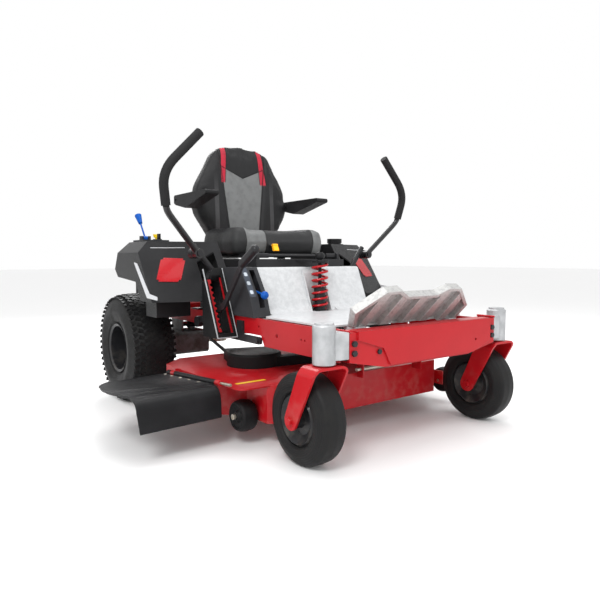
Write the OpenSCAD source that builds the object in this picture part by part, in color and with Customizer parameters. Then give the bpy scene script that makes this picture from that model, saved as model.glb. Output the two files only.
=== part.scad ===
// Zero turn mower with a suspended operator platform, a two-blade cutting
// deck and a side discharge deflector. Millimetres. The machine faces -Y,
// +X is its left side and the ground is Z = 0.

/* [Wheels] */
// Distance from the caster kingpins back to the drive axle
wheelbase = 1163; // [1060:1:1400]
// Distance of each caster kingpin from the centre line
caster_half_track = 410; // [405:1:440]
// How far a caster wheel trails behind its kingpin
caster_trail = 76; // [60:1:80]
// Diameter of a caster tyre
caster_tyre_d = 280; // [250:1:300]
// Width of a caster tyre
caster_tyre_w = 101; // [80:1:104]
// Diameter of a caster rim, where the tyre seats
caster_rim_d = 158; // [120:1:180]
// Diameter of a caster kingpin
kingpin_d = 25; // [20:1:30]
// Diameter of a caster wheel bolt
caster_axle_d = 16; // [12:1:20]
// Distance of each drive tyre's middle from the centre line
drive_half_track = 513; // [500:1:560]
// Diameter of a drive tyre
drive_tyre_d = 456; // [430:1:470]
// Width of a drive tyre
drive_tyre_w = 195; // [160:1:200]
// Diameter of a drive rim, where the tyre seats
drive_rim_d = 210; // [190:1:260]
// Diameter of a drive shaft
drive_shaft_d = 25; // [20:1:32]

/* [Frame] */
// Distance of a side rail's outer face from the centre line
rail_x = 330; // [326:1:336]
// Height of the top of the rails
rail_top = 396; // [390:1:400]
// Height of the front part of a rail
rail_h = 96; // [80:1:98]
// Thickness of a rail plate
rail_t = 8; // [5:1:10]
// Thickness of the front beam and its end brackets
beam_t = 6; // [4:1:8]
// Diameter of the caster housings
housing_d = 67.5; // [60:0.5:80]
// Diameter of the frame bolts
bolt_d = 10; // [8:1:12]
// Diameter of the rear guard tube
guard_d = 30; // [25:1:34]
// Diameter of the hole in the hitch plate
hitch_hole_d = 19; // [13:0.5:25]

/* [Deck] */
// Height of the skirt's lower edge at rest
deck_bottom = 80; // [70:1:100]
// Height of the deck's top face at rest
deck_top = 205; // [200:1:210]
// Thickness of the deck steel
deck_t = 4; // [3:0.5:6]
// Length of a blade
blade_l = 504; // [440:1:507]
// Diameter of a blade spindle
spindle_d = 25; // [20:1:30]
// Diameter of an anti-scalp roller
roller_d = 106; // [90:1:110]
// Length of the side discharge deflector outwards from its hinge
deflector_w = 304; // [250:1:320]
// Thickness of the deflector
deflector_t = 4; // [3:0.5:6]
// Diameter of the deflector hinge rod
hinge_rod_d = 9; // [7:0.5:10]

/* [Controls] */
// Diameter of the control bars
bar_d = 24; // [20:1:28]
// Diameter of the grips on the control bars
grip_d = 34; // [30:1:38]
// Diameter of the lift shaft across the frame
lift_shaft_d = 22; // [18:1:26]
// Diameter of the pins that small levers turn on
pin_d = 8; // [6:0.5:10]
// Diameter of the ball on the speed lever
ball_d = 30; // [24:1:34]

/* [Operator platform] */
// Half width of the platform floor
floor_half = 318; // [300:1:318]
// Half width of the riser behind the floor
riser_half = 257; // [230:1:258]
// Height of the top of the floor
floor_z = 404; // [402:1:408]
// Thickness of the platform sheet
panel_t = 6; // [4:1:7]
// Diameter of the suspension spring
spring_d = 68; // [60:1:74]
// Diameter of the spring wire
wire_d = 9; // [6:0.5:10]
// Number of spring coils
coils = 7; // [5:1:9]
// Width of the seat cushion
seat_w = 500; // [440:1:520]
// Height of the top of the seat back
seat_top = 1147; // [1080:1:1180]
// Length of an armrest
armrest_l = 282; // [240:1:300]

/* [Clearances] */
// Radial clearance of a running shaft
run = 0.06; // [0.04:0.01:0.09]
// Radial clearance of a bolt in its hole
bolt_gap = 0.2; // [0.1:0.05:0.4]
// Gap between faces that move past each other
gap = 0.3; // [0.3:0.05:0.6]

/* [Hidden] */
$fn = 48;
axle_z = drive_tyre_d / 2;
caster_z = caster_tyre_d / 2;
rail_in = rail_x - rail_t;
rail_bottom = rail_top - rail_h;
rail_waist = rail_top - 60;        // lower edge of a rail behind its step
rail_step_y = 448;
frame_rear = wheelbase + 377;
engine_y = wheelbase + 237;
plate_z = rail_top - 8;            // underside of the engine plate
box_half = rail_x + 15;            // half length of the front cross box
box_y = 30;
box_bottom = 311;
box_top = rail_top + 2;
beam_half = 316;
beam_face = -box_y - beam_t;       // back face of the front beam
housing_bottom = box_bottom;
housing_top = 429;
bolt_x = beam_half + 13;
bolt_heights = [338, 366];
shaft_y = 820;                     // lift shaft
shaft_z = 358;
arm_y = 743;                       // control lever pivots
arm_z = 540;
guard_y = frame_rear + 100;
deck_edge = -534;                  // right edge of the deck's top
hinge_x = deck_edge - 12;
hinge_front = [hinge_x, 290, 216];
hinge_rear = [hinge_x, 760, 183];
hinge_tilt = atan2(hinge_front.z - hinge_rear.z, hinge_rear.y - hinge_front.y);
hinge_l = norm(hinge_rear - hinge_front);
spindles = [[-264, 600], [264, 520]];
blade_z = deck_bottom + 24;
cover_top = deck_top + 50;
belt_z = deck_top + 24;
spindle_pulley_r = 70;
drum_r = 60;
platform_y = 60;                   // platform hinge
platform_z = 380;
hinge_lug = 200;                   // inner face of each platform hinge lug
foot_y = 92;                       // front edge of the floor
shock_y = 526;
spring_low = floor_z;
spring_high = 592;
seat_base_top = 606;
tilt_y = 674;
tilt_z = seat_base_top + 14;
cushion_z = tilt_z + 11;
cushion_front = 783;
back_y = 1085;
armrest_x = 293;
armrest_z = 868;
armrest_y = 1150;
gate_foot = [585, 316];            // front face of the height gate, y and z
gate_head = [700, 573];
gate_in = -rail_x - 12;
gate_out = gate_in - 86;
lever_x = -385;
grip_x = 606;                      // widest point of the control bars
left_edge = max(drive_half_track + drive_tyre_w / 2, grip_x + grip_d / 2 + 0.3);
right_edge = hinge_x - deflector_w;
front_edge = caster_trail - caster_tyre_d / 2;
rear_edge = guard_y + guard_d / 2;

function unit(v) = v / norm(v);

// Rounds the corners of a polygon: each point is [x, y] or [x, y, radius].
function rounded(points) = [
  for (i = [0 : len(points) - 1])
    let (
      n = len(points),
      corner = [points[i].x, points[i].y],
      r = points[i][2] == undef ? 0 : points[i][2],
      u = unit([points[(i + n - 1) % n].x, points[(i + n - 1) % n].y] - corner),
      v = unit([points[(i + 1) % n].x, points[(i + 1) % n].y] - corner),
      half = acos(max(-1, min(1, u * v))) / 2,
      middle = corner + unit(u + v) * r / sin(half),
      first = corner + u * r / tan(half) - middle,
      last = corner + v * r / tan(half) - middle,
      start = atan2(first.y, first.x),
      turn = (atan2(last.y, last.x) - start + 540) % 360 - 180
    )
    each r == 0 ? [corner]
      : [for (k = [0 : 5]) middle + r * [cos(start + turn * k / 5), sin(start + turn * k / 5)]]
];

// Moves every edge of an anticlockwise polygon inwards.
function inset(points, d) = [
  for (i = [0 : len(points) - 1])
    let (
      n = len(points),
      u = unit(points[i] - points[(i + n - 1) % n]),
      v = unit(points[(i + 1) % n] - points[i]),
      nu = [-u.y, u.x],
      nv = [-v.y, v.x]
    )
    points[i] + (nu + nv) * d / (1 + nu * nv)
];

// A (y, z) outline run along X, and an (x, z) outline run along Y.
module along_x(points, from, to) {
  translate([from, 0, 0]) rotate([90, 0, 90]) linear_extrude(to - from) polygon(points);
}
module along_y(points, from, to) {
  translate([0, to, 0]) rotate([90, 0, 0]) linear_extrude(to - from) polygon(points);
}
module along_z(points, from, to) {
  translate([0, 0, from]) linear_extrude(to - from) polygon(points);
}
module block(low, high) {
  translate(low) cube(high - low);
}
module rod(a, b, d) {
  v = b - a;
  translate(a) rotate([0, acos(v.z / norm(v)), atan2(v.y, v.x)]) cylinder(d = d, h = norm(v));
}
module run_of_tube(points, d) {
  for (i = [1 : len(points) - 1]) rod(points[i - 1], points[i], d);
  for (i = [1 : len(points) - 2]) translate(points[i]) sphere(d = d + 0.6);
}
module pin_x(from, to, y, z, d) {
  translate([from, y, z]) rotate([0, 90, 0]) cylinder(d = d, h = to - from);
}
// Everything beyond a plane through a point, for cutting a slanted face.
module beyond(point, normal) {
  size = 1200;
  translate(point) rotate([0, acos(normal.z / norm(normal)), atan2(normal.y, normal.x)])
    translate([-size / 2, -size / 2, 0]) cube(size);
}
module on_side(side) {
  mirror([side < 0 ? 1 : 0, 0, 0]) children();
}
module both_sides() {
  children();
  mirror([1, 0, 0]) children();
}
module place() {
  translate([-(left_edge + right_edge) / 2, -(front_edge + rear_edge) / 2, 0]) children();
}

// ---------------------------------------------------------------- chassis

module rail() {
  difference() {
    along_x([[box_y, rail_bottom], [rail_step_y - 20, rail_bottom], [rail_step_y, rail_waist],
      [frame_rear, rail_waist], [frame_rear, rail_top], [box_y, rail_top]], rail_in, rail_x);
    pin_x(rail_in - 1, rail_x + 1, shaft_y, shaft_z, lift_shaft_d + 2 * run);
    pin_x(rail_in - 1, rail_x + 1, 463, 367, 10);
    pin_x(rail_in - 1, rail_x + 1, 351, 345, 14);
    for (y = [194, 214]) pin_x(rail_in - 1, rail_x + 1, y, 348, 7);
  }
}
module main_frame() color([0.72, 0.08, 0.08]) {
  wall = 4;
  difference() {
    union() {
      difference() {
        block([-box_half, -box_y, box_bottom], [box_half, box_y, box_top]);
        block([-box_half - 1, wall - box_y, box_bottom + wall],
          [box_half + 1, box_y - wall, box_top - wall]);
      }
      both_sides() rail();
      difference() {
        block([-rail_in, 620, 322], [rail_in, 660, 370]);
        block([-rail_in - 1, 620 + wall, 322 + wall], [rail_in + 1, 660 - wall, 370 - wall]);
      }
      block([-40, shock_y - 40, 366], [40, 620, 372]);
      block([-rail_in, engine_y - 160, plate_z], [rail_in, frame_rear, rail_top]);
      block([-rail_in, frame_rear - rail_t, 300], [rail_in, frame_rear, plate_z]);
      block([-60, frame_rear, 300], [60, frame_rear + 62, 308]);
      both_sides() {
        block([hinge_lug - 10, box_y - 1, 366], [hinge_lug - gap, platform_y + 12, 392]);
        pin_x(hinge_lug - 10, hinge_lug + 44, platform_y, platform_z, 12);
      }
    }
    both_sides() for (z = bolt_heights) translate([bolt_x, wall + 1 - box_y, z])
      rotate([90, 0, 0]) cylinder(d = bolt_d + 2 * bolt_gap, h = wall + 2);
    translate([-228, wall + 1 - box_y, 334])
      rotate([90, 0, 0]) cylinder(d = bolt_d + 2 * bolt_gap, h = wall + 2);
    translate([0, engine_y, plate_z - 1]) cylinder(d = 60, h = 20);
    translate([0, frame_rear + 38, 290]) cylinder(d = hitch_hole_d, h = 30);
  }
}
module front_beam() color([0.72, 0.08, 0.08]) {
  difference() {
    union() {
      along_y([[-183, 290], [221, 290], [beam_half, 322], [beam_half, 400],
        [-beam_half, 400], [-beam_half, 375], [-213, 343]], beam_face - beam_t, beam_face);
      block([-beam_half, beam_face, 398], [beam_half, beam_face + 30, 401]);
      along_y([[-box_half, 312], [-200, 284], [200, 284], [box_half, 312], [box_half, 397],
        [-box_half, 397]], beam_face, -box_y);
    }
    both_sides() for (z = bolt_heights) translate([bolt_x, -box_y + 1, z])
      rotate([90, 0, 0]) cylinder(d = bolt_d + 2 * bolt_gap, h = 3 * beam_t);
    translate([-228, -box_y + 1, 334]) rotate([90, 0, 0])
      cylinder(d = bolt_d + 2 * bolt_gap, h = 3 * beam_t);
    translate([233, -box_y + 1, 332]) rotate([90, 30, 0]) cylinder(d = 9, h = 3 * beam_t);
  }
}
module caster_housings() color([0.72, 0.73, 0.74]) both_sides() {
  difference() {
    union() {
      translate([caster_half_track, 0, housing_bottom])
        cylinder(d = housing_d, h = housing_top - housing_bottom - 9);
      translate([caster_half_track, 0, housing_top - 9])
        cylinder(d1 = housing_d, d2 = housing_d - 10, h = 4);
      translate([caster_half_track, 0, housing_top - 5]) cylinder(d = housing_d - 12, h = 5);
      along_z(rounded([[box_half, -36, 4], [378, -36, 8], [caster_half_track, -20],
        [caster_half_track, 20], [378, 36, 8], [box_half, 36, 4]]), 323, 401);
    }
    translate([caster_half_track, 0, housing_bottom - 1])
      cylinder(d = kingpin_d + 2 * run, h = housing_top - housing_bottom - 9);
  }
}
module hex_bolt(across, head, l) {
  cylinder(d = across, h = head, $fn = 6);
  translate([0, 0, head]) cylinder(d = bolt_d, h = l);
}
module frame_bolts() color([0.05, 0.05, 0.06]) {
  both_sides() for (z = bolt_heights) translate([bolt_x, beam_face - 8, z])
    rotate([-90, 0, 0]) hex_bolt(19, 8, beam_t + 12);
  translate([-228, beam_face - 6, 334]) rotate([-90, 0, 0]) hex_bolt(16, 6, beam_t + 12);
}
// Pivot plates of the control levers and the bars along the rails.
module side_brackets() color([0.05, 0.05, 0.06]) both_sides() {
  along_x(rounded([[724, 340], [786, 340], [770, 520], [760, 562, 12], [726, 562, 12]]),
    rail_x, rail_x + 10);
  pin_x(rail_x + 10, rail_x + 50, arm_y, arm_z, 14);
  pin_x(rail_x + 50, rail_x + 54, arm_y, arm_z, 24);
  difference() {
    along_x(rounded([[440, 305, 10], [720, 305], [720, 380], [660, 380], [660, 331],
      [600, 331], [600, 380], [560, 380], [560, 331], [440, 331, 10]]), rail_x, rail_x + 10);
    pin_x(rail_x - 1, rail_x + 11, 459, 318, 12);
  }
  pin_x(rail_x - 4, rail_x + 10, 459, 318, 12);
  pin_x(rail_x + 10, rail_x + 17, 459, 318, 20);
}
module rear_guard() color([0.05, 0.05, 0.06]) {
  x = rail_x - 12;
  both_sides() {
    difference() {
      block([x - 24, frame_rear, 330], [x + 12, frame_rear + 6, rail_top - 4]);
      for (z = [345, 380]) translate([x - 6, frame_rear - 1, z]) rotate([-90, 0, 0])
        cylinder(d = 9, h = 8);
    }
    run_of_tube([[x - 6, frame_rear + 3, 362], [x - 6, guard_y, 362], [x - 6, guard_y, 500],
      [x - 46, guard_y, 510]], guard_d);
  }
  both_sides() translate([x - 46, guard_y, 510]) sphere(d = guard_d + 0.6);
  pin_x(46 - x, x - 46, guard_y, 510, guard_d);
  pin_x(10 - x, x - 10, guard_y, 425, guard_d - 8);
}
module engine_block() color([0.32, 0.33, 0.34]) {
  difference() {
    union() {
      translate([0, engine_y, rail_top]) cylinder(r = 122, h = 104);
      for (side = [-1, 1]) translate([0, engine_y, rail_top + 58]) rotate([0, 0, 90 + side * 48]) {
        translate([90, -42, -42]) cube([60, 84, 84]);
        for (i = [0 : 4]) translate([102 + i * 9, -48, -46]) cube([4, 96, 92]);
      }
    }
    translate([0, engine_y, rail_top - 1]) cylinder(d = 28 + 2 * run, h = 50);
  }
}
module engine_shroud() color([0.06, 0.06, 0.065]) translate([0, engine_y, 0]) {
  z = rail_top + 104;
  rotate_extrude($fn = 64) polygon(rounded([[0, z + 40], [40, z + 40], [52, z + 20], [124, z],
    [146, z], [148, z + 96, 30], [96, z + 128, 10], [90, z + 148, 6], [0, z + 148]]));
  translate([0, 0, z]) cylinder(r = 34, h = 42);
  block([-60, 90, z], [60, 142, z + 90]);
}
module muffler() color([0.28, 0.28, 0.29]) {
  y = frame_rear + 35;
  translate([-130, y, 440]) rotate([0, 90, 0]) cylinder(d = 84, h = 260);
  for (x = [-90, 90]) block([x - 8, frame_rear - rail_t, rail_top], [x + 8, y - 20, 404]);
  rod([0, y - 30, 440], [0, engine_y + 122 + gap, 440], 26);
  rod([-130, y, 440], [-168, y, 440], 28);
}
module transaxles() color([0.3, 0.31, 0.32]) both_sides() {
  difference() {
    union() {
      along_x(rounded([[1085, 182, 20], [1245, 182, 20], [1245, 282, 20], [1085, 282, 20]]),
        200, 372);
      pin_x(372, 404, wheelbase, axle_z, 74);
      block([rail_in - rail_t, 1110, 270], [rail_in, 1215, plate_z - 6]);
      translate([250, wheelbase, 280]) cylinder(d = 34, h = 16);
    }
    pin_x(300, 410, wheelbase, axle_z, drive_shaft_d + 2 * run);
    translate([250, wheelbase, 255]) cylinder(d = 14 + 2 * run, h = 50);
  }
}

// Side of a console as a (y, z) outline: front foot, over the tyre, wing tip, top.
console_top = 676;
console_side = [[708, 446], [880, 446], [930, 518], [1126, 532], [1160, 564], [1120, 640],
  [1104, console_top], [708, console_top]];
filler = [470, 990];
module console_form(wall) {
  difference() {
    along_x(inset(console_side, wall), 300 + wall, 600 - wall);
    beyond([461, 718, 446] - wall * unit([0.294, -0.786, 0.544]), [0.294, -0.786, 0.544]);
    beyond([600 - wall, 786, 469], [0.82, -0.45, 0.3]);
    beyond([592 - wall, 900, 640 - wall], [0.7, 0, 0.7]);
  }
}
// Hollow fender with an open bottom, a liner box in front of the tyre and a foot on the rail.
module console() {
  difference() {
    union() {
      console_form(0);
      block([430, 800, 385], [570, 900, 450]);
      block([300, 905, rail_top], [344, 960, rail_top + 6]);
      block([300, 905, rail_top], [306, 960, 522]);
    }
    console_form(4);
    block([434, 804, 380], [566, 896, 452]);
    block([rail_x - 3, 700, 440], [402, 800, 700]);
    along_x([[932, 500], [1120, 500], [1120, 540], [932, 540]], 348, 590);
  }
}
module right_console() color([0.06, 0.06, 0.065]) difference() {
  mirror([1, 0, 0]) console();
  translate([-540, 985, 660]) cube([40, 60, 30]);
}
module left_console() color([0.06, 0.06, 0.065]) difference() {
  console();
  translate([filler.x, filler.y, 600]) cylinder(d = 76, h = 100);
}
module fuel_tank() color([0.09, 0.09, 0.1]) {
  translate([filler.x, filler.y, 630]) cylinder(d = 66, h = console_top + 9 - 630);
  translate([filler.x, filler.y, console_top]) cylinder(d = 92, h = 5);
  along_x(rounded([[880, 541, 20], [1080, 541, 20], [1080, 640, 20], [930, 640, 20]]), 312, 560);
}
module fuel_cap() color([0.05, 0.05, 0.06]) translate([filler.x, filler.y, console_top + 9 + gap]) difference() {
  cylinder(d = 74, h = 22);
  for (a = [0 : 30 : 359]) rotate(a) translate([38, 0, -1]) cylinder(d = 7, h = 30);
}

// Speed control tower beside the riser and the switch plate on the right console.
tower_side = [[480, rail_top], [506, 470], [575, 576], [690, 576], [690, rail_top]];
module console_panels() color([0.2, 0.2, 0.21]) {
  inner = -riser_half - 8;
  plate = console_top + 8;
  difference() {
    along_x(tower_side, -rail_x - 9, inner);
    along_x([[490, rail_top - 4], [510, 467], [577, 572], [700, 572], [700, rail_top - 4]],
      -rail_x - 5, inner - 4);
    block([-304, 470, 430], [-282, 620, 566]);
  }
  pin_x(-rail_x - 6, inner - 3, 610, 500, pin_d);
  difference() {
    along_z(rounded([[-550, 960, 12], [-440, 960, 12], [-425, 1098, 12], [-545, 1098, 12]]),
      console_top, plate);
    block([-534, 980, 660], [-506, 1050, 700]);
    translate([-455, 1060, console_top - 1]) cylinder(d = 12 + 2 * run, h = 20);
  }
  for (x = [-542, -510]) block([x, 1006, plate], [x + 8, 1028, plate + 16]);
  pin_x(-542, -502, 1017, plate + 8, pin_d);
  translate([-455, 1060, plate]) difference() {
    cylinder(d = 30, h = 6);
    translate([0, 0, -1]) cylinder(d = 12 + 2 * run, h = 20);
  }
  translate([-470, 1000, plate]) cylinder(d = 26, h = 4);
}
module throttle_lever() {
  color([0.6, 0.6, 0.62]) difference() {
    union() {
      pin_x(-530, -514, 1017, 692, 18);
      rod([-522, 1020, 696], [-522, 1072, 765], 7);
    }
    pin_x(-531, -513, 1017, 692, pin_d + 2 * run);
  }
  color([0.02, 0.3, 0.8]) translate([-522, 1064, 754])
    rotate([-37, 0, 0]) cylinder(d1 = 16, d2 = 28, h = 42);
}
module blade_switch() color([0.9, 0.8, 0.1]) translate([-455, 1060, 690 + gap]) {
  translate([0, 0, -10]) cylinder(d = 12, h = 24);
  translate([0, 0, 6]) cylinder(d1 = 22, d2 = 30, h = 14);
}
module ignition_key() color([0.05, 0.05, 0.06]) translate([-470, 1000, 688 + gap]) {
  cylinder(d = 16, h = 6);
  translate([-3, -12, 6]) cube([6, 24, 16]);
}
// Slotted housing that the cutting height lever comes through.
module gate_frame() color([0.06, 0.06, 0.065]) {
  outer = [gate_foot, [700, 316], [706, 573], gate_head];
  difference() {
    along_x(outer, gate_out, gate_in);
    along_x([[gate_foot.x + 8, 324], [710, 324], [720, 565], [gate_head.x + 4, 565]],
      gate_out + 5, gate_in - 5);
    along_x([[570, 334], [640, 334], [740, 545], [640, 545]], gate_out + 10, gate_in - 14);
    beyond([gate_out, 600, 520], [-1, 0, 0.9]);
  }
  block([gate_in, 664, 345], [-rail_x - 10, 698, 375]);
}
module height_gate() color([0.72, 0.08, 0.08]) {
  lean = atan2(gate_head.x - gate_foot.x, gate_head.y - gate_foot.y);
  translate([0, gate_foot.x + 9, gate_foot.y + 4]) rotate([-lean, 0, 0]) {
    difference() {
      block([gate_out + 5, 6, 22], [lever_x - 12, 10, 232]);
      for (i = [0 : 8]) translate([lever_x - 12, 0, 42 + i * 21]) rotate([-90, 0, 0])
        cylinder(d = 15, h = 20);
    }
    block([gate_in - 16, 6, 14], [gate_in - 5.2, 10, 240]);
  }
}

// ---------------------------------------------------------------- wheels

module fork(side) color([0.72, 0.08, 0.08]) on_side(side) {
  leg_out = 64;
  leg_t = 8;
  top = housing_bottom - 4;
  end_r = 28;
  axle = [caster_trail, caster_z];
  down = unit(axle - [4, top - 18]);
  across = [-down.y, down.x];
  outline = concat(
    [[-36, top - 14], [-36, top], [38, top], [38, top - 12]],
    [for (a = [0 : 15 : 180])
      axle + end_r * [across.x * cos(a) + down.x * sin(a), across.y * cos(a) + down.y * sin(a)]]);
  bottom = caster_z - end_r - 2;
  shape = concat(
    rounded([[-leg_out, bottom], [-leg_out, top, 26], [leg_out, top, 26], [leg_out, bottom],
      [leg_out - leg_t, bottom], [leg_out - leg_t, top - leg_t, 18],
      [leg_t - leg_out, top - leg_t, 18], [leg_t - leg_out, bottom]]));
  translate([caster_half_track, 0, 0]) {
    difference() {
      intersection() {
        along_y(shape, -60, caster_trail + 60);
        along_x(outline, -leg_out, leg_out);
      }
      pin_x(-leg_out - 1, leg_out + 1, caster_trail, caster_z, caster_axle_d + 2 * bolt_gap);
    }
    translate([0, 0, top]) cylinder(d = 50, h = 4 - gap);
    translate([0, 0, top + 1]) cylinder(d = kingpin_d, h = housing_top - top - 15);
    pin_x(-leg_out, leg_out, caster_trail, caster_z, caster_axle_d);
    for (x = [-leg_out - 10, leg_out]) translate([x, caster_trail, caster_z])
      rotate([0, 90, 0]) cylinder(d = 27, h = 10, $fn = 6);
  }
}
module caster_tyre(side) color([0.03, 0.03, 0.032]) on_side(side)
  translate([caster_half_track, caster_trail, caster_z]) rotate([0, 90, 0]) {
    r = caster_tyre_d / 2;
    seat = caster_rim_d / 2;
    w = caster_tyre_w / 2;
    rotate_extrude($fn = 96) polygon(rounded([[seat, -w + 14], [seat + 6, -w + 4, 4],
      [r - 34, -w, 20], [r - 3, -w + 16, 16], [r, 0, 40], [r - 3, w - 16, 16], [r - 34, w, 20],
      [seat + 6, w - 4, 4], [seat, w - 14]]));
  }
module caster_rim(side) color([0.05, 0.05, 0.055]) on_side(side)
  translate([caster_half_track, caster_trail, caster_z]) rotate([0, 90, 0]) {
    seat = caster_rim_d / 2;
    w = caster_tyre_w / 2;
    bore = caster_axle_d / 2 + run;
    rotate_extrude($fn = 72) polygon([[bore, -w - 4], [22, -w - 4], [26, -w + 22], [46, -w + 26],
      [seat - 14, -w + 12], [seat - 7, -w + 6], [seat, -w + 14], [seat, w - 14],
      [seat - 7, w - 6], [seat - 14, w - 12], [46, w - 26], [26, w - 22], [22, w + 4],
      [bore, w + 4]]);
  }
module drive_tyre(side) color([0.03, 0.03, 0.032]) on_side(side)
  translate([drive_half_track, wheelbase, axle_z]) rotate([0, 90, 0]) {
    r = drive_tyre_d / 2;
    seat = drive_rim_d / 2;
    w = drive_tyre_w / 2;
    rotate_extrude($fn = 120) polygon(rounded([[seat, -w + 24], [seat + 12, -w + 12, 6],
      [r - 70, -w, 40], [r - 18, -w + 14, 22], [r, -w + 60, 60], [r, w - 60, 60],
      [r - 18, w - 14, 22], [r - 70, w, 40], [seat + 12, w - 12, 6], [seat, w - 24]]));
  }
// Rim with its hub and the drive shaft that runs in the transaxle.
module drive_rim(side) color([0.05, 0.05, 0.055]) on_side(side)
  translate([drive_half_track, wheelbase, axle_z]) rotate([0, 90, 0]) {
    seat = drive_rim_d / 2;
    w = drive_tyre_w / 2;
    disc = -w + 60;
    rotate_extrude($fn = 96) polygon([[0, disc], [40, disc], [40, disc + 8], [70, disc + 14],
      [seat - 12, disc], [seat - 12, -w + 18], [seat - 2, -w + 14], [seat, -w + 24],
      [seat, w - 24], [seat - 2, w - 14], [seat - 12, w - 18], [seat - 12, disc + 16],
      [72, disc + 30], [42, disc + 20], [0, disc + 20]]);
    for (a = [0 : 90 : 359]) rotate(a) translate([30, 0, disc + 20])
      cylinder(d = 19, h = 14, $fn = 6);
    translate([0, 0, disc - 160]) cylinder(d = drive_shaft_d, h = 165);
    translate([0, 0, -drive_half_track + 404 + gap]) cylinder(d = 60, h = 38);
    translate([0, 0, disc + 19]) cylinder(d = 32, h = 10);
  }

// ---------------------------------------------------------------- cutting deck

deck_skirt = [[-500, 454], [-480, 430], [-430, 384], [-430, 262], [-400, 240], [357, 240],
  [420, 309], [546, 440], [546, 700], [430, 800], [60, 810], [-120, 888], [-440, 888],
  [deck_edge, 800], [deck_edge, 500]];
module deck_shell() color([0.72, 0.08, 0.08]) {
  difference() {
    union() {
      along_z(deck_skirt, deck_bottom, deck_top);
      along_z(rounded([[deck_edge, 256, 30], [-380, 256], [-380, 600], [deck_edge, 600]]),
        deck_top - deck_t, deck_top);
      block([460, 282, deck_bottom + 4], [466, 370, deck_bottom + 60]);
      for (t = [64, 404]) {
        axis_z = hinge_front.z - t * sin(hinge_tilt);
        y = hinge_front.y + t * cos(hinge_tilt);
        block([hinge_x, y + 2, min(axis_z - 4, deck_top - deck_t)],
          [deck_edge + 10, y + 26, max(axis_z + 4, deck_top)]);
        hinge_frame() translate([0, t, 0]) rotate([-90, 0, 0]) cylinder(d = 19, h = 28);
      }
      block([-60, 210, 190], [-54, 241, 240]);
      block([225, 196, 190], [231, 241, 240]);
    }
    along_z(inset(deck_skirt, deck_t), deck_bottom - 1, deck_top - deck_t);
    block([deck_edge - 1, 520, deck_bottom - 1], [deck_edge + deck_t + 1, 760, deck_top - 22]);
    for (s = spindles) translate([s.x, s.y, deck_top - 10]) cylinder(d = 80 + 2 * bolt_gap, h = 20);
    hinge_frame() rotate([-90, 0, 0]) cylinder(d = hinge_rod_d + 2 * bolt_gap, h = hinge_l);
    pin_x(459, 467, 305, 98, 12 + 2 * bolt_gap);
    pin_x(-431, -425, 341, 98, 12 + 2 * bolt_gap);
    pin_x(-61, 232, 222, 220, 12 + 2 * bolt_gap);
  }
}
// Frame of the deflector hinge: origin at its front end, +Y along the rod.
module hinge_frame() {
  translate(hinge_front) rotate([-hinge_tilt, 0, 0]) children();
}
module belt_covers() color([0.04, 0.04, 0.045]) for (k = [0, 1]) {
  s = spindles[k];
  other = spindles[1 - k];
  to_engine = atan2(engine_y - s.y, -s.x);
  across = atan2(other.y - s.y, other.x - s.x);
  front = (s.x < 0 ? -1 : 1) * 64 - 26;
  translate([s.x, s.y, deck_top]) difference() {
    union() {
      rotate_extrude() polygon([[0, 0], [104, 0], [104, 44], [98, 50], [0, 50]]);
      rotate(to_engine) translate([0, -88, 0]) cube([150, 176, 42]);
      rotate(across) translate([0, front, 0]) cube([norm(s - other) / 2 - 45, 52, 36]);
    }
    rotate_extrude() polygon([[0, -1], [100.5, -1], [100.5, 43], [97, 46.5], [0, 46.5]]);
    rotate(to_engine) translate([0, -85, -1]) cube([152, 170, 40]);
    rotate(across) translate([0, front + 3, -1]) cube([norm(s - other) / 2, 46, 34]);
  }
}
module deck_fittings() color([0.62, 0.63, 0.64]) {
  for (s = spindles) translate([s.x, s.y, 0]) difference() {
    union() {
      translate([0, 0, blade_z + 26]) cylinder(d = 80, h = deck_top + 8 - blade_z - 26);
      translate([0, 0, deck_top]) cylinder(d = 120, h = 6);
    }
    translate([0, 0, blade_z]) cylinder(d = spindle_d + 2 * run, h = 160);
  }
  // Guide pulley under the belt's front run
  along = unit(spindles[1] - spindles[0]);
  guide = (spindles[0] + spindles[1]) / 2 + (spindle_pulley_r - 29.6) * [along.y, -along.x];
  translate([guide.x, guide.y, deck_top]) cylinder(d = 16, h = belt_z + 8 - deck_top);
  translate([guide.x, guide.y, belt_z - 8]) cylinder(r = 30, h = 16);
  hinge_frame() rotate([-90, 0, 0]) cylinder(d = hinge_rod_d, h = hinge_l);
  pin_x(-80, 250, 222, 220, 12);
  pin_x(240, 252, 222, 220, 24);
  pin_x(-503, -426, 341, 98, 12);
  pin_x(-511, -503, 341, 98, 19);
  pin_x(460, 540, 305, 98, 12);
  pin_x(540, 550, 305, 98, 19);
}
module mower_belt() color([0.03, 0.03, 0.03]) translate([0, 0, belt_z - 6]) {
  wheels = [[spindles[0], spindle_pulley_r], [spindles[1], spindle_pulley_r],
    [[0, engine_y], drum_r + 2]];
  linear_extrude(12) difference() {
    hull() for (p = wheels) translate(p[0]) circle(r = p[1] + 9, $fn = 32);
    hull() for (p = wheels) translate(p[0]) circle(r = p[1] + 1, $fn = 32);
  }
}
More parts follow.
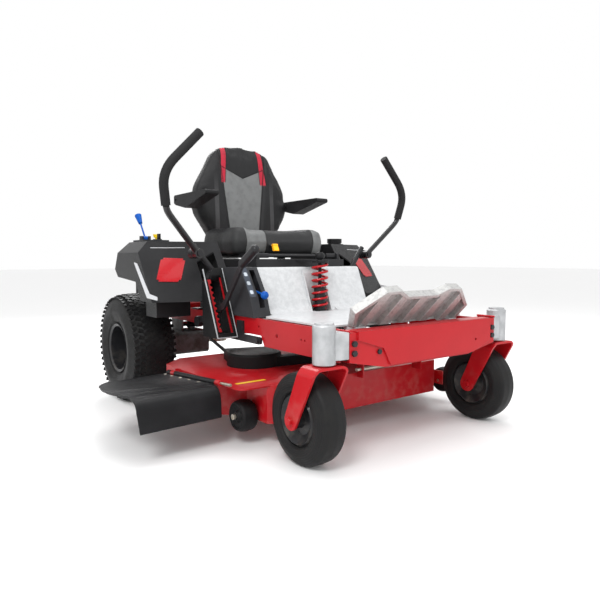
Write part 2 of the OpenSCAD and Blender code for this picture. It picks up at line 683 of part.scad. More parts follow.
module deflector() color([0.07, 0.07, 0.075]) {
  lip = 332;
  top_line = [[lip, 104], [lip + 4, 168, 20], [lip + 34, 205, 24], [480, 199], [640, 187],
    [769, 178]];
  n = len(top_line) - 1;
  under = [for (i = [0 : n]) let (p = top_line[n - i])
    i == n ? [p.x + deflector_t, p.y]
      : [p.x + (i > n - 3 ? deflector_t : 0), p.y - deflector_t, p[2] == undef ? 0 : p[2] - 4]];
  difference() {
    translate([hinge_x, 0, 0]) rotate([0, -4.5, 0]) translate([-deflector_w * 1.1, 0, 0])
      along_x(rounded(concat(top_line, under)), 0, deflector_w * 1.1 - 6);
    block([hinge_x - deflector_w - 200, 200, 50], [hinge_x - deflector_w, 900, 300]);
    along_z([[hinge_x - deflector_w - 1, 300], [-818, 300], [-820, 340],
      [hinge_x - deflector_w - 1, 440]], 50, 300);
    along_z([[hinge_x - deflector_w - 1, 700], [-800, 780], [hinge_x - deflector_w - 1, 800]],
      50, 300);
    hinge_frame() rotate([-90, 0, 0]) cylinder(d = 20, h = hinge_l);
  }
  hinge_frame() for (t = [[93, 403], [433, 466]]) difference() {
    union() {
      translate([0, t[0], 0]) rotate([-90, 0, 0]) cylinder(d = 19, h = t[1] - t[0]);
      translate([-26, t[0], -9]) cube([26, t[1] - t[0], 5]);
    }
    translate([0, t[0] - 1, 0]) rotate([-90, 0, 0])
      cylinder(d = hinge_rod_d + 2 * run, h = t[1] - t[0] + 2);
  }
}
module roller(x, y, z) color([0.04, 0.04, 0.045]) translate([x, y, z]) rotate([0, 90, 0]) {
  r = roller_d / 2;
  rotate_extrude($fn = 64) polygon(rounded([[6 + run, -30], [14, -30], [20, -20, 4], [r - 16, -24],
    [r - 10, -31, 4], [r - 3, -22, 12], [r, 0, 30], [r - 3, 22, 12], [r - 10, 31, 4],
    [r - 16, 24], [20, 20, 4], [14, 30], [6 + run, 30]]));
}
module blade(s) color([0.45, 0.46, 0.48]) translate([s.x, s.y, 0]) {
  translate([0, 0, blade_z - 8]) cylinder(d = 30, h = 8, $fn = 6);
  intersection() {
    translate([-blade_l / 2, -31, blade_z]) cube([blade_l, 62, 5]);
    translate([0, 0, blade_z]) cylinder(d = blade_l, h = 5, $fn = 96);
  }
  translate([0, 0, blade_z + 5]) cylinder(d = 44, h = 21 - gap);
  translate([0, 0, blade_z + 4]) cylinder(d = spindle_d, h = cover_top - 14 - blade_z);
  translate([0, 0, deck_top + 8 + gap]) cylinder(r = 26, h = 12);
  rotate_extrude() polygon([[0, belt_z - 9], [spindle_pulley_r + 6, belt_z - 9],
    [spindle_pulley_r + 6, belt_z - 7], [spindle_pulley_r, belt_z - 6.5],
    [spindle_pulley_r, belt_z + 6.5], [spindle_pulley_r + 6, belt_z + 7],
    [spindle_pulley_r + 6, belt_z + 9], [0, belt_z + 9]]);
}
module crank_pulley() color([0.35, 0.36, 0.38]) translate([0, engine_y, 0]) {
  translate([0, 0, belt_z - 47]) cylinder(r = drum_r, h = 100);
  translate([0, 0, belt_z + 53]) cylinder(r = 78, h = 50);
  translate([0, 0, belt_z + 103]) cylinder(r = 20, h = 6);
  rotate_extrude() polygon([[0, 338], [56, 338], [56, 341], [50, 342], [50, 354], [56, 355],
    [56, 358], [0, 358]]);
  translate([0, 0, belt_z + 50]) cylinder(d = 28, h = rail_top + 45 - belt_z - 50);
}
module fan(side) color([0.12, 0.12, 0.13]) on_side(side) translate([250, wheelbase, 0]) {
  z = 296 + gap;
  translate([0, 0, 262]) cylinder(d = 14, h = z - 262 + 1);
  translate([0, 0, z]) cylinder(r = 18, h = 44);
  translate([0, 0, z + 14]) cylinder(r = 62, h = 3);
  for (a = [0 : 45 : 359]) rotate(a) translate([12, -1.5, z + 2]) cube([46, 3, 13]);
  rotate_extrude() polygon([[0, 338], [56, 338], [56, 341], [50, 342], [50, 354], [56, 355],
    [56, 358], [0, 358]]);
}

// ---------------------------------------------------------------- levers

swing = [436, 720, 628];           // pivot of a control bar on its arm
module lever_arm(side) color([0.2, 0.2, 0.21]) on_side(side) {
  difference() {
    union() {
      pin_x(rail_x + 10 + gap, rail_x + 50 - gap, arm_y, arm_z, 40);
      run_of_tube([[rail_x + 34, arm_y, arm_z + 18], [rail_x + 36, arm_y + 2, 568],
        [swing.x + 2, 752, 660]], 22);
      rod([swing.x, swing.y + 13.5, swing.z], [swing.x, swing.y + 46, swing.z], 40);
    }
    pin_x(rail_x, rail_x + 60, arm_y, arm_z, 14 + 2 * run);
  }
  rod([swing.x, swing.y - 19, swing.z], [swing.x, swing.y + 20, swing.z], 12);
  rod([swing.x, swing.y - 25, swing.z], [swing.x, swing.y - 18, swing.z], 22);
}
module control_bar(side) on_side(side) {
  path = [swing + [0, -3, 0], [576, 673, 774], [585, 665, 796], [grip_x, 644, 912], [462, 638, 1061]];
  color([0.05, 0.05, 0.055]) difference() {
    union() {
      run_of_tube([path[0], path[1], path[2]], bar_d);
      rod(path[2], path[3], grip_d);
      rod(path[3], path[4], grip_d);
      for (i = [2, 3, 4]) translate(path[i]) sphere(d = grip_d + 0.6);
      rod(swing - [0, 16, 0], swing + [0, 13, 0], 38);
    }
    rod(swing - [0, 20, 0], swing + [0, 20, 0], 12 + 2 * run);
  }
}
module height_lever() color([0.05, 0.05, 0.06]) {
  pin_x(lever_x - 8, rail_x + 12, shaft_y, shaft_z, lift_shaft_d);
  pin_x(lever_x - 10, lever_x + 10, shaft_y, shaft_z, 44);
  along_x(rounded([[shaft_y, shaft_z - 12], [shaft_y, shaft_z + 12], [612, 449, 12],
    [486, 602], [470, 588], [606, 425, 12]]), lever_x - 5, lever_x + 5);
  rod([lever_x, 482, 590], [lever_x, 398, 640], 32);
  translate([lever_x, 398, 640]) sphere(d = 32.6);
  for (x = [-250, 238]) {
    pin_x(x, x + 12, shaft_y, shaft_z, 40);
    along_x([[shaft_y - 2, shaft_z + 14], [shaft_y - 2, shaft_z - 14], [shaft_y + 66, shaft_z - 44],
      [shaft_y + 78, shaft_z - 28]], x, x + 12);
  }
}
module speed_lever() {
  color([0.3, 0.3, 0.31]) difference() {
    union() {
      pin_x(-300, -286, 610, 500, 20);
      rod([-293, 606, 500], [-293, 486, 478], 8);
    }
    pin_x(-301, -285, 610, 500, pin_d + 2 * run);
  }
  color([0.02, 0.3, 0.8]) translate([-293, 480, 477]) sphere(d = ball_d);
}

// ---------------------------------------------------------------- platform

module platform_panel() color([0.9, 0.9, 0.9]) {
  recess = spring_d / 2 + 14;
  under = floor_z - panel_t;
  difference() {
    union() {
      difference() {
        intersection() {
          along_x(rounded([[foot_y, under], [660, under], [660, 575], [585, 575, 14],
            [516, floor_z, 50], [foot_y, floor_z]]), -floor_half, floor_half);
          along_z(rounded([[-floor_half, foot_y], [floor_half, foot_y], [floor_half, 440, 20],
            [riser_half, 478, 20], [riser_half, 660], [-riser_half, 660], [-riser_half, 478, 20],
            [-floor_half, 440, 20]]), under - 1, 600);
        }
        along_x([[528, under - 8], [528, under], [592, 575 - panel_t], [700, 575 - panel_t],
          [700, under - 8]], panel_t - riser_half, riser_half - panel_t);
      }
      block([-recess - panel_t, shock_y - 40, under], [recess + panel_t, 572, 575]);
    }
    block([-recess, shock_y - 41, floor_z], [recess, 566, 600]);
    block([-44, shock_y - 40, under - 9], [44, 564, 600]);
    along_x([[480, floor_z], [510, floor_z], [574, 572], [574, 600], [480, 600]],
      -recess - 20, recess + 20);
  }
  both_sides() block([riser_half - panel_t, 566, under], [riser_half, 640, 500]);
  both_sides() difference() {
    along_x(rounded([[platform_y - 12, under], [platform_y - 12, 368, 10], [platform_y + 12, 368, 10],
      [platform_y + 52, 392], [platform_y + 52, under]]), hinge_lug, hinge_lug + 40);
    pin_x(hinge_lug - 1, hinge_lug + 41, platform_y, platform_z, 12 + 2 * run);
  }
}
module foot_rest() color([0.62, 0.62, 0.61]) {
  rise = 126;
  reach = foot_y - 2;
  lean = atan2(reach, rise);
  s = norm([reach, rise]);
  outline = [[-240, 0], [240, 0], [269, s * 0.5], [178, s], [116, s * 1.02], [70, s * 0.86],
    [-70, s * 0.86], [-116, s * 1.02], [-178, s], [-269, s * 0.5]];
  difference() {
   translate([0, foot_y, floor_z - panel_t]) rotate([lean + 90, 0, 0]) {
    linear_extrude(8) polygon(outline);
    translate([0, 0, 7]) linear_extrude(22) difference() {
      polygon(outline);
      polygon(inset(outline, 12));
    }
    intersection() {
      translate([0, 0, 7]) linear_extrude(20) polygon(outline);
      for (x = [-190 : 95 : 190]) along_z([[x - 42, -1], [x - 8, -1], [x + 42, s + 8],
        [x + 8, s + 8]], 7, 28);
    }
   }
   block([-300, 0, 300], [300, foot_y, floor_z - panel_t]);
  }
}
module shock_body() color([0.08, 0.08, 0.085]) translate([0, shock_y, 0]) difference() {
  union() {
    translate([0, 0, 372]) cylinder(d = 60, h = spring_low - 372 - 6);
    translate([0, 0, spring_low - 6]) cylinder(d = spring_d + 2, h = 6);
    translate([0, 0, spring_low]) cylinder(d = 46, h = 90);
  }
  translate([0, 0, 400]) cylinder(d = 38, h = 120);
}
module shock_spring() color([0.72, 0.08, 0.08]) translate([0, shock_y, 0]) {
  sides = 8;
  per_turn = 20;
  steps = coils * per_turn;
  r = (spring_d - wire_d) / 2;
  low = spring_low + wire_d / 2 + gap;
  high = spring_high - wire_d / 2 - gap;
  points = [for (i = [0 : steps], k = [0 : sides - 1])
    let (a = i * 360 / per_turn, b = k * 360 / sides, q = r + wire_d / 2 * cos(b))
      [q * cos(a), q * sin(a), low + (high - low) * i / steps + wire_d / 2 * sin(b)]];
  last = steps * sides;
  polyhedron(points, concat(
    [[for (k = [0 : sides - 1]) k]],
    [[for (k = [sides - 1 : -1 : 0]) last + k]],
    [for (i = [0 : steps - 1], k = [0 : sides - 1])
      let (a = i * sides + k, b = i * sides + (k + 1) % sides)
        each [[a, a + sides, b], [b, a + sides, b + sides]]]), convexity = 10);
}
module adjuster_knob() color([0.12, 0.12, 0.13]) translate([0, shock_y, 0]) {
  translate([0, 0, 470]) cylinder(d = 14, h = 145);
  translate([0, 0, spring_high]) cylinder(d = spring_d, h = 5);
  translate([0, 0, 603 + gap]) cylinder(d = 22, h = 12);
  translate([0, 0, 618]) intersection() {
    sphere(d = 38);
    block([-20, -20, -12], [20, 20, 16]);
  }
}
module seat_base() color([0.06, 0.06, 0.065]) {
  difference() {
    union() {
      block([-225, 640, 575], [225, 1080, seat_base_top]);
      block([-30, 500, 597 + gap], [30, 641, 603]);
      both_sides() along_x(rounded([[656, seat_base_top], [692, seat_base_top],
        [692, tilt_z + 12, 8], [656, tilt_z + 12, 8]]), 200, 212);
    }
    block([-215, 672, 570], [215, 1070, seat_base_top - 5]);
    translate([0, shock_y, 590]) cylinder(d = 14 + 2 * run, h = 20);
  }
  pin_x(-212, 212, tilt_y, tilt_z, pin_d + 4);
}
module seat_rails() color([0.25, 0.25, 0.26]) difference() {
  union() {
    both_sides() along_x(rounded([[664, tilt_z - 9, 6], [1070, tilt_z - 8], [1070, tilt_z + 10],
      [664, tilt_z + 10, 6]]), 150, 200 - gap);
    for (y = [760, 1040]) block([-151, y, tilt_z - 6], [151, y + 30, tilt_z + 10]);
    both_sides() block([160, 1030, seat_base_top + gap], [190, 1056, tilt_z - 7]);
  }
  pin_x(-210, 210, tilt_y, tilt_z, pin_d + 4 + 2 * run);
}
module seat_cushion() color([0.09, 0.09, 0.095]) {
  half = seat_w / 2;
  rear = back_y - gap;
  z = cushion_z - 1 + gap;
  hull() {
    for (x = [34 - half, half - 34], y = [cushion_front + 34, rear - 34])
      translate([x, y, z]) cylinder(r = 26, h = 40, $fn = 24);
    for (x = [34 - half, half - 34], y = [cushion_front + 30, rear - 34])
      translate([x, y, z + 50]) cylinder(r1 = 34, r2 = 22, h = 48, $fn = 24);
  }
  for (x = [-67, -37 + gap]) block([x, 761, 657], [x + 5 - gap, cushion_front + 14, 671]);
  pin_x(-64, -36, 769, 664, 6);
}
module seat_back() color([0.09, 0.09, 0.095]) {
  h = seat_top - 655;
  low = cushion_z - 1 + gap;
  outline = rounded([[-150, 0, 40], [150, 0, 40], [262, 0.34 * h, 120], [250, 0.58 * h, 120],
    [140, 0.97 * h, 90], [0, h, 150], [-140, 0.97 * h, 90], [-250, 0.58 * h, 120],
    [-262, 0.34 * h, 120]]);
  translate([0, back_y, 655]) rotate([86.5, 0, 0]) translate([0, 0, -70])
    linear_extrude(70) polygon(outline);
  both_sides() {
    block([150, back_y - gap - 6.8, low], [190, back_y + 66, low + 7]);
    block([150, back_y + 45, low], [190, back_y + 66, 720]);
    along_x(rounded([[1122, armrest_z - 30], [1172, armrest_z - 30], [1172, armrest_z + 20, 18],
      [1130, armrest_z + 20, 18]]), 232, armrest_x - 32 - gap);
    pin_x(armrest_x - 34, armrest_x + 20, armrest_y, armrest_z, 14);
  }
}
module armrest(side) color([0.04, 0.04, 0.045]) on_side(side) {
  front = armrest_y - armrest_l;
  difference() {
    along_x(rounded([[front, armrest_z + 6, 8], [front + 60, armrest_z - 8],
      [armrest_y - 90, armrest_z - 40, 10], [armrest_y, armrest_z - 22],
      [armrest_y + 20, armrest_z - 14, 10], [armrest_y + 20, armrest_z + 22, 10],
      [front, armrest_z + 24, 10]]), armrest_x - 32, armrest_x + 30);
    pin_x(armrest_x - 40, armrest_x + 40, armrest_y, armrest_z, 14 + 2 * run);
  }
}
module seat_latch() color([1, 0.65, 0.05]) difference() {
  union() {
    pin_x(-62 + gap, -38, 769, 664, 14);
    along_x(rounded([[763, 664], [775, 664], [767, 640, 3], [751, 640, 3]]), -62 + gap, -38);
  }
  pin_x(-63, -37, 769, 664, 6 + 2 * run);
}

place() main_frame();
place() front_beam();
place() caster_housings();
place() frame_bolts();
place() side_brackets();
place() rear_guard();
place() engine_block();
place() engine_shroud();
place() muffler();
place() transaxles();
place() fuel_tank();
place() right_console();
place() left_console();
place() console_panels();
place() gate_frame();
place() height_gate();
place() fork(-1);  // fork_right
place() fork(1);  // fork_left
place() caster_tyre(-1);  // caster_tyre_right
place() caster_tyre(1);  // caster_tyre_left
place() caster_rim(-1);  // caster_rim_right
place() caster_rim(1);  // caster_rim_left
place() drive_tyre(-1);  // drive_tyre_right
place() drive_tyre(1);  // drive_tyre_left
place() drive_rim(-1);  // drive_rim_right
place() drive_rim(1);  // drive_rim_left
place() deck_shell();
place() belt_covers();
place() deck_fittings();
place() mower_belt();
place() deflector();
place() roller(-470, 341, 98);  // roller_right
place() roller(503, 305, 98);  // roller_left
place() blade(spindles[0]);  // blade_right
place() blade(spindles[1]);  // blade_left
place() crank_pulley();
place() fan(-1);  // fan_right
place() fan(1);  // fan_left
place() lever_arm(-1);  // lever_arm_right
place() lever_arm(1);  // lever_arm_left
place() control_bar(-1);  // control_bar_right
place() control_bar(1);  // control_bar_left
place() height_lever();
place() speed_lever();
place() throttle_lever();
place() blade_switch();
place() ignition_key();
place() fuel_cap();
place() platform_panel();
place() foot_rest();
place() shock_body();
place() shock_spring();
place() adjuster_knob();
place() seat_base();
place() seat_rails();
place() seat_cushion();
place() seat_back();
place() armrest(-1);  // armrest_right
place() armrest(1);  // armrest_left
place() seat_latch();
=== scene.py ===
import math

import bmesh
import bpy
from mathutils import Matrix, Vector


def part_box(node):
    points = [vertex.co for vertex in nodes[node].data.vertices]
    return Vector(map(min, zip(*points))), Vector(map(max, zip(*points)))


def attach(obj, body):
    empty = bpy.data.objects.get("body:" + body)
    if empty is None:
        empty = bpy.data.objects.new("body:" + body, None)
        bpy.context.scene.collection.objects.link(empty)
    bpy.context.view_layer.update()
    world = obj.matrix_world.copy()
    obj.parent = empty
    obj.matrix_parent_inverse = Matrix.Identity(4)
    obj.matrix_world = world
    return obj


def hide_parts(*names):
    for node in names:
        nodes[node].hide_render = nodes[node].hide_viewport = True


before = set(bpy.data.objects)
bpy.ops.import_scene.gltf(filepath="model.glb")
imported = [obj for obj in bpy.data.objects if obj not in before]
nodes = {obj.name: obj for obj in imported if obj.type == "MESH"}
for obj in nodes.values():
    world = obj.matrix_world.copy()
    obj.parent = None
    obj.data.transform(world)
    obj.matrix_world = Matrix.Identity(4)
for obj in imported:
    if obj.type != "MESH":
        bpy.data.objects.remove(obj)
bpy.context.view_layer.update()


# ---------------------------------------------------------------- the view
# The mower stands on a plain pale floor under soft studio lights. Places on it
# are given in millimetres back from the caster kingpins, +X to its left.

low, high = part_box("caster_housings")
kingpins = (low + high) / 2


def at(x, y, z):
    return Vector((kingpins.x + x / 1000, kingpins.y + y / 1000, z / 1000))


camera = bpy.data.objects.new("camera", bpy.data.cameras.new("camera"))
bpy.context.scene.collection.objects.link(camera)
camera.location = at(-1422.03, -1230.56, 612.15)
camera.rotation_euler = Vector((0.6, 0.7965, -0.0743)).to_track_quat("-Z", "Y").to_euler()
camera.data.lens = 34.09
camera.data.sensor_width = 36
bpy.context.scene.camera = camera
bpy.context.scene.view_settings.view_transform = "Standard"

world = bpy.data.worlds.new("studio")
bpy.context.scene.world = world
world.use_nodes = True
world.node_tree.nodes["Background"].inputs["Color"].default_value = (1, 1, 1, 1)
world.node_tree.nodes["Background"].inputs["Strength"].default_value = 1.0

for name, place, size, power in (
    ("key", at(-2400, -1200, 2600), 1.0, 60), ("fill", at(1800, -2400, 1700), 2.2, 16),
    ("rim", at(900, 3200, 2400), 1.6, 60), ("top", at(-200, 500, 3200), 2.0, 30),
):
    lamp = bpy.data.objects.new(name, bpy.data.lights.new(name, "AREA"))
    bpy.context.scene.collection.objects.link(lamp)
    lamp.data.size = size
    lamp.data.energy = power
    lamp.location = place
    lamp.rotation_euler = (at(0, 600, 400) - place).to_track_quat("-Z", "Y").to_euler()

bpy.ops.mesh.primitive_plane_add(size=60, location=(0, 0, 0))
floor = bpy.context.object
floor.name = "floor"
floor_paint = bpy.data.materials.new("floor")
floor_paint.use_nodes = True
floor_paint.node_tree.nodes["Principled BSDF"].inputs["Base Color"].default_value = (0.9, 0.9, 0.9, 1)
floor_paint.node_tree.nodes["Principled BSDF"].inputs["Roughness"].default_value = 0.6
floor.data.materials.append(floor_paint)


# ---------------------------------------------------------------- red steel
# The frame, front beam, caster forks and deck are welded steel plate under one
# coat of glossy red powder paint, thin at the edges and dusty low down.

class Wire:
    """One output of a shader node; arithmetic on it adds Math nodes."""

    def __init__(self, tree, socket):
        self.tree, self.socket = tree, socket

    def math(self, operation, other, swapped=False):
        step = self.tree.nodes.new("ShaderNodeMath")
        step.operation = operation
        for i, value in enumerate((other, self) if swapped else (self, other)):
            if isinstance(value, Wire):
                self.tree.links.new(value.socket, step.inputs[i])
            else:
                step.inputs[i].default_value = value
        return Wire(self.tree, step.outputs[0])

    def __add__(self, other): return self.math("ADD", other)
    def __radd__(self, other): return self.math("ADD", other)
    def __sub__(self, other): return self.math("SUBTRACT", other)
    def __rsub__(self, other): return self.math("SUBTRACT", other, True)
    def __mul__(self, other): return self.math("MULTIPLY", other)
    def __rmul__(self, other): return self.math("MULTIPLY", other)
    def __abs__(self): return self.math("ABSOLUTE", 0)
    def __mod__(self, other): return self.math("FLOORED_MODULO", other)


class Finish:
    """A material: its shader, its coordinates, and one method that adds any node."""

    def __init__(self, name, **fixed):
        self.material = bpy.data.materials.new(name)
        self.material.use_nodes = True
        self.tree = self.material.node_tree
        self.tree.nodes.clear()
        end = self.tree.nodes.new("ShaderNodeOutputMaterial")
        self.shader = self.tree.nodes.new("ShaderNodeBsdfPrincipled")
        self.tree.links.new(self.shader.outputs[0], end.inputs[0])
        for socket, value in fixed.items():
            self.shader.inputs[socket.replace("_", " ")].default_value = value
        self.place = self.node("ShaderNodeTexCoord", output="Object")
        split = self.node("ShaderNodeSeparateXYZ", Vector=self.place).socket.node
        self.x, self.y, self.z = (Wire(self.tree, split.outputs[i]) for i in range(3))

    def node(self, kind, settings={}, output=0, places={}, **inputs):
        made = self.tree.nodes.new(kind)
        for key, value in settings.items():
            setattr(made, key, value)
        for key, value in list(inputs.items()) + list(places.items()):
            self.feed(made.inputs[key.replace("_", " ") if isinstance(key, str) else key], value)
        return Wire(self.tree, made.outputs[output])

    def feed(self, socket, value):
        if isinstance(value, Wire):
            self.tree.links.new(value.socket, socket)
        else:
            socket.default_value = value

    def noise(self, scale, detail=3.0, roughness=0.5):
        return self.node("ShaderNodeTexNoise", Vector=self.place, Scale=scale, Detail=detail,
                         Roughness=roughness)

    def step(self, wire, start, end):
        return self.node("ShaderNodeMapRange", {"interpolation_type": "SMOOTHSTEP"}, Value=wire,
                         From_Min=start, From_Max=end)

    def mix(self, factor, a, b):
        return self.node("ShaderNodeMix", {"data_type": "RGBA"}, output=2,
                         places={0: factor, 6: a, 7: b})

    def edges(self, radius):
        """White on edges, where a rounded normal leaves the flat one; used for wear and for painted
        highlights.
        """
        self.rounded = self.node("ShaderNodeBevel", {"samples": 4}, Radius=radius)
        flat = self.node("ShaderNodeNewGeometry", output="Normal")
        facing = self.node("ShaderNodeVectorMath", {"operation": "DOT_PRODUCT"}, output="Value",
                           places={0: self.rounded, 1: flat})
        return self.step(1 - facing, 0.04, 0.22)

    def relief(self, height, distance, strength=1.0):
        settings = dict(Height=height, Distance=distance, Strength=strength)
        if getattr(self, "rounded", None):
            settings["Normal"] = self.rounded
        self.feed(self.shader.inputs["Normal"], self.node("ShaderNodeBump", **settings))

    def coat(self, *names):
        for name in names:
            nodes[name].data.materials.clear()
            nodes[name].data.materials.append(self.material)
        return self


def painted(name, colour, primer, gloss=0.28, grain=900, dust=0.5):
    paint = Finish(name, Coat_Roughness=0.08, IOR=1.5, Specular_IOR_Level=0.18)
    edge_wear_and_highlight = paint.edges(0.0016)
    patch = paint.noise(14, 5, 0.6)
    chips = edge_wear_and_highlight * paint.step(paint.noise(160, 4), 0.5, 0.62)
    shade = paint.mix(paint.step(patch, 0.35, 0.7) * 0.22, colour + (1,),
                      tuple(c * 0.72 for c in colour) + (1,))
    shade = paint.mix(chips * 0.55, shade, primer + (1,))
    dusty = paint.step(0.30 - paint.z, 0.0, 0.26) * paint.step(paint.noise(32, 6), 0.42, 0.75) * dust
    shade = paint.mix(dusty * 0.35, shade, (0.36, 0.32, 0.26, 1))
    paint.feed(paint.shader.inputs["Base Color"], shade)
    paint.feed(paint.shader.inputs["Roughness"], gloss + patch * 0.12 + dusty * 0.4 + chips * 0.25)
    paint.feed(paint.shader.inputs["Coat Weight"], 0.16 - dusty * 0.16)
    paint.relief(paint.noise(grain, 1), 0.00012, 0.35)
    return paint


red = painted("red powder coat", (0.43, 0.006, 0.011), (0.3, 0.28, 0.27))
red.coat("main_frame", "front_beam", "fork_right", "fork_left", "deck_shell", "shock_spring")
painted("red gate", (0.36, 0.006, 0.010), (0.3, 0.28, 0.27), 0.4).coat("height_gate")

# Welds run along the tops of the caster housings' arms and where the rails meet
# the cross box. They are beads of filler, painted over with the frame.


def bead(name, body, path, size, material):
    """A rippled bead along a path, as a chain of overlapping drops."""
    tree = bpy.data.node_groups.new(name, "GeometryNodeTree")
    tree.interface.new_socket("Geometry", in_out="INPUT", socket_type="NodeSocketGeometry")
    radius = tree.interface.new_socket("Drop radius", in_out="INPUT", socket_type="NodeSocketFloat")
    pitch = tree.interface.new_socket("Pitch", in_out="INPUT", socket_type="NodeSocketFloat")
    tree.interface.new_socket("Geometry", in_out="OUTPUT", socket_type="NodeSocketGeometry")
    new = tree.nodes.new
    start, end = new("NodeGroupInput"), new("NodeGroupOutput")
    spread = new("GeometryNodeMeshToCurve")
    even = new("GeometryNodeResampleCurve")
    even.mode = "LENGTH"
    drops = new("GeometryNodeInstanceOnPoints")
    drop = new("GeometryNodeMeshIcoSphere")
    drop.inputs["Subdivisions"].default_value = 2
    real, finish = new("GeometryNodeRealizeInstances"), new("GeometryNodeSetMaterial")
    finish.inputs["Material"].default_value = material
    link = tree.links.new
    link(start.outputs["Geometry"], spread.inputs["Mesh"])
    link(spread.outputs[0], even.inputs["Curve"])
    link(start.outputs["Pitch"], even.inputs["Length"])
    link(even.outputs[0], drops.inputs["Points"])
    link(start.outputs["Drop radius"], drop.inputs["Radius"])
    link(drop.outputs[0], drops.inputs["Instance"])
    link(drops.outputs[0], real.inputs[0])
    link(real.outputs[0], finish.inputs["Geometry"])
    link(finish.outputs[0], end.inputs[0])
    mesh = bpy.data.meshes.new(name)
    mesh.from_pydata([tuple(p) for p in path], [(i, i + 1) for i in range(len(path) - 1)], [])
    source = bpy.data.objects.new(name + " path", mesh)
    bpy.context.scene.collection.objects.link(source)
    modifier = source.modifiers.new("drops", "NODES")
    modifier.node_group = tree
    modifier[radius.identifier] = size
    modifier[pitch.identifier] = size * 0.55
    return settle(source, name, body)


def settle(source, name, body):
    """Turns what a piece's modifiers make into a plain mesh that rides on a body."""
    bpy.context.view_layer.update()
    mesh = bpy.data.meshes.new_from_object(
        source.evaluated_get(bpy.context.evaluated_depsgraph_get()))
    mesh.name = name
    bpy.data.objects.remove(source)
    piece = bpy.data.objects.new(name, mesh)
    bpy.context.scene.collection.objects.link(piece)
    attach(piece, body)
    return piece


for side, word in ((-1, "right"), (1, "left")):
    bead("housing_weld_" + word, "chassis",
         [at(side * 346, y, 402) for y in (-34, 34)], 0.004, red.material)
    bead("rail_weld_" + word, "chassis",
         [at(side * 321, 30.5, z) for z in (318, 392)], 0.003, red.material)


# ---------------------------------------------------------------- castings
# Caster housings are cast and painted silver, with a sandy skin. The spindle
# housings and hinge hardware of the deck are zinc plated.

casting = Finish("silver casting", Metallic=0.55)
edge_wear_and_highlight = casting.edges(0.002)
sand = casting.noise(420, 4, 0.65)
casting.feed(casting.shader.inputs["Base Color"],
             casting.mix(casting.step(casting.noise(22, 5), 0.3, 0.75),
                         (0.50, 0.51, 0.52, 1), (0.34, 0.35, 0.36, 1)))
casting.feed(casting.shader.inputs["Roughness"], 0.34 + sand * 0.2 - edge_wear_and_highlight * 0.1)
casting.relief(sand, 0.0006, 0.5)
casting.coat("caster_housings")

zinc = Finish("zinc plate", Metallic=0.9)
zinc.edges(0.0012)
grain = zinc.noise(60, 6, 0.7)
zinc.feed(zinc.shader.inputs["Base Color"],
          zinc.mix(zinc.step(grain, 0.4, 0.7), (0.58, 0.56, 0.50, 1), (0.46, 0.40, 0.28, 1)))
zinc.feed(zinc.shader.inputs["Roughness"], 0.3 + grain * 0.25)
zinc.relief(zinc.noise(500, 2), 0.0002, 0.4)
zinc.coat("deck_fittings", "blade_right", "blade_left", "crank_pulley")


# ---------------------------------------------------------------- deflector
# The side discharge deflector is moulded rubber on a hinge rod: a rounded
# tongue with pressed ribs, a rolled front lip and a beaded edge.

def moulded(name, colour, rough=0.42, grain=650.0, depth=0.00025, edge_highlight_lift=0.02):
    plastic = Finish(name, IOR=1.48, Specular_IOR_Level=0.16)
    edge_wear_and_highlight = plastic.edges(0.0022)
    cells = plastic.node("ShaderNodeTexVoronoi", {"feature": "DISTANCE_TO_EDGE"},
                         Vector=plastic.place, Scale=grain)
    cloud = plastic.noise(9, 5, 0.6)
    shade = plastic.mix(plastic.step(cloud, 0.35, 0.75), colour + (1,),
                        tuple(c * 1.45 + 0.002 for c in colour) + (1,))
    # Painted highlight: the edges are lifted to a lighter colour, standing in for light caught on the
    # rounded edges.
    shade = plastic.mix(edge_wear_and_highlight * 0.4, shade, tuple(c * 2.2 + edge_highlight_lift for c in colour) + (1,))
    plastic.feed(plastic.shader.inputs["Base Color"], shade)
    plastic.feed(plastic.shader.inputs["Roughness"], rough + cloud * 0.14 - edge_wear_and_highlight * 0.12)
    plastic.relief(plastic.step(cells, 0.0, 0.25), depth, 0.5)
    return plastic


def tube(name, body, path, radius, material):
    """A round tube or rod along a path, closed at its ends."""
    line = bpy.data.curves.new(name, "CURVE")
    line.dimensions = "3D"
    line.bevel_depth = radius
    line.bevel_resolution = 4
    line.use_fill_caps = True
    spline = line.splines.new("POLY")
    spline.points.add(len(path) - 1)
    for point, place in zip(spline.points, path):
        point.co = (*place, 1)
    source = bpy.data.objects.new(name + " line", line)
    bpy.context.scene.collection.objects.link(source)
    piece = settle(source, name, body)
    piece.data.materials.clear()
    piece.data.materials.append(material)
    return piece


flap = moulded("deflector rubber", (0.008, 0.008, 0.009), 0.3, 300.0, 0.0003, 0.05)
hinge_x, hinge_y, hinge_z = -546, 290, 216     # front end of the hinge rod
hinge_fall = -33 / 470                         # the rod's drop towards its rear end
droop = math.radians(1.6)                      # how far the tongue hangs below level
root, reach_mid, lobe_out, nose_in, tail_in = 8, 284, 19, 8, 60
rear_edge = 768
ridges = ((372, 398, 5), (396, 470, 7), (425, 560, 7))   # each one's start, end and width
across, along = 56, 90
profile = [(334, 106), (334.5, 130), (336, 160), (341, 180), (351, 195), (366, 202.5), (395, 203.5),
           (440, 201), (480, 198.5), (540, 194), (600, 189.5), (640, 186.5), (700, 182.5), (767, 178)]
lengths = [0]
for (y0, z0), (y1, z1) in zip(profile, profile[1:]):
    lengths.append(lengths[-1] + math.hypot(y1 - y0, z1 - z0))


def on_profile(t):
    """The point that lies a share t of the way round the lip and back."""
    goal = t * lengths[-1]
    k = max(i for i in range(len(lengths) - 1) if lengths[i] <= goal + 1e-9)
    part = (goal - lengths[k]) / (lengths[k + 1] - lengths[k])
    return [a + (b - a) * part for a, b in zip(profile[k], profile[k + 1])]


